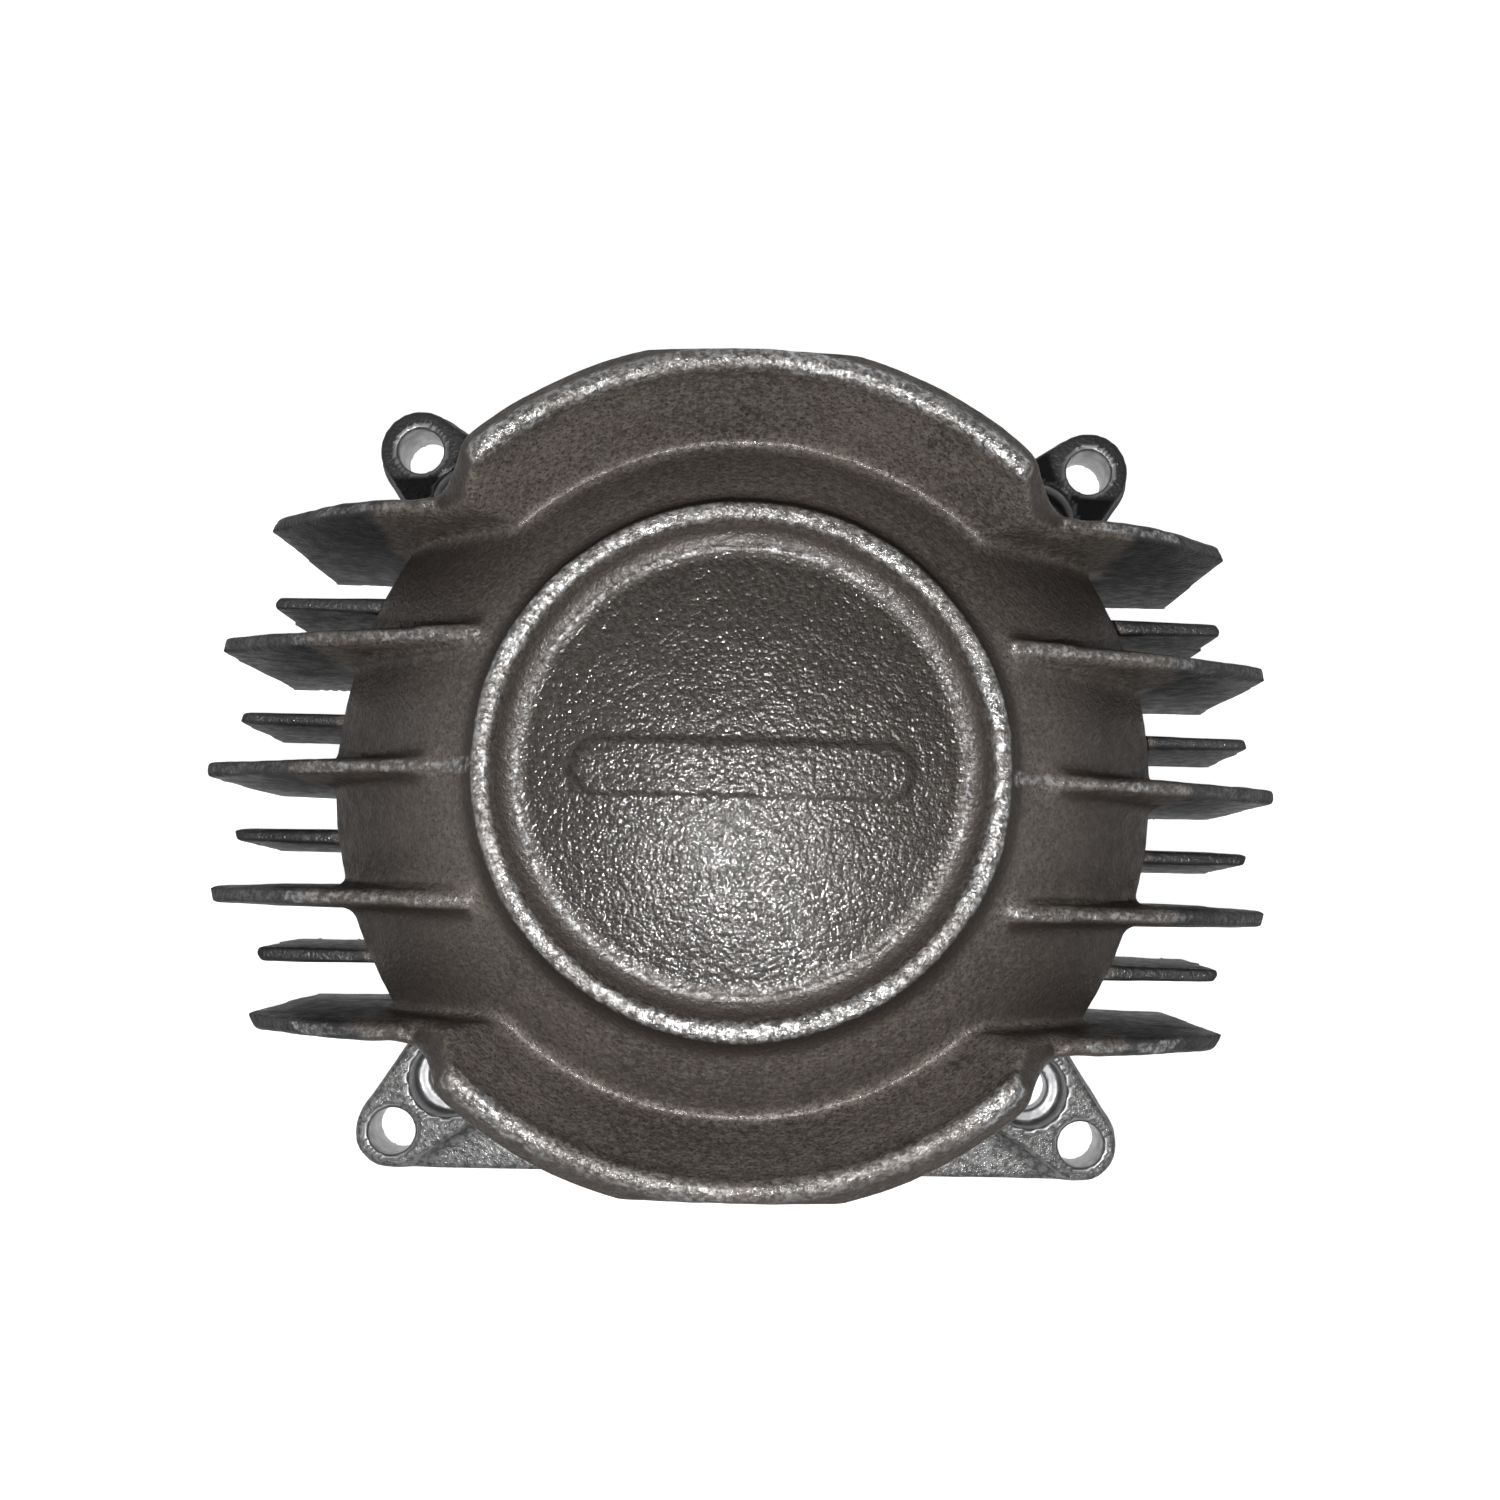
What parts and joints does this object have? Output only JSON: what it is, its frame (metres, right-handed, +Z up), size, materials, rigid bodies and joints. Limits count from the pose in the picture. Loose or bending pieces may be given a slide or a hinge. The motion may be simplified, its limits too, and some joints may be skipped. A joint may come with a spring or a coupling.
{
  "type": "compressor cylinder head",
  "caption": "Finned cast cylinder head of an air-cooled compressor, with a turret cap, corner ears, side ports and a concentric ring plate valve group inside.",
  "frame": {"origin": "centre of the mating face, on the cylinder axis", "axes": "+Z up the cylinder axis towards the turret cap, +X along the cooling fins, +Y towards the suction port"},
  "size_m": [0.192, 0.1518, 0.076],
  "materials": {
    "cast_aluminium": "rough as-cast",
    "seat_iron": "machined",
    "guard_iron": "phosphated",
    "plate_steel": "lapped",
    "turned_steel": "turned",
    "bolt_steel": "black oxide",
    "spring_steel": "drawn wire",
    "gasket_fibre": "compressed fibre",
    "seal_rubber": "smooth"
  },
  "bodies": {
    "head": {"head_casting": "cast_aluminium", "valve_seat": "seat_iron", "discharge_spacer": "turned_steel", "discharge_guard": "guard_iron", "discharge_springs": "spring_steel", "suction_spacer": "turned_steel", "suction_guard": "guard_iron", "suction_springs": "spring_steel", "centre_bolt": "bolt_steel", "nut_washer": "turned_steel", "castle_nut": "bolt_steel", "split_pin": "turned_steel", "discharge_dowels": "turned_steel", "suction_dowels": "turned_steel", "index_pin": "turned_steel", "seat_gasket": "gasket_fibre", "divider_gasket": "gasket_fibre", "face_seal": "seal_rubber", "seat_screws": "bolt_steel", "seat_screw_washers": "turned_steel"},
    "discharge_valve": {"discharge_plate": "plate_steel"},
    "suction_valve": {"suction_plate": "plate_steel"}
  },
  "joints": [
    {"name": "discharge_lift", "type": "slide", "parent": "head", "child": "discharge_valve", "axis": [0, 0, 1], "range_m": [0, 0.002], "stiffness_N_per_m": 3000, "springref_m": -0.0015, "deforming": ["discharge_springs"]},
    {"name": "suction_lift", "type": "slide", "parent": "head", "child": "suction_valve", "axis": [0, 0, -1], "range_m": [0, 0.0018], "stiffness_N_per_m": 3000, "springref_m": -0.0015, "deforming": ["suction_springs"]}
  ]
}
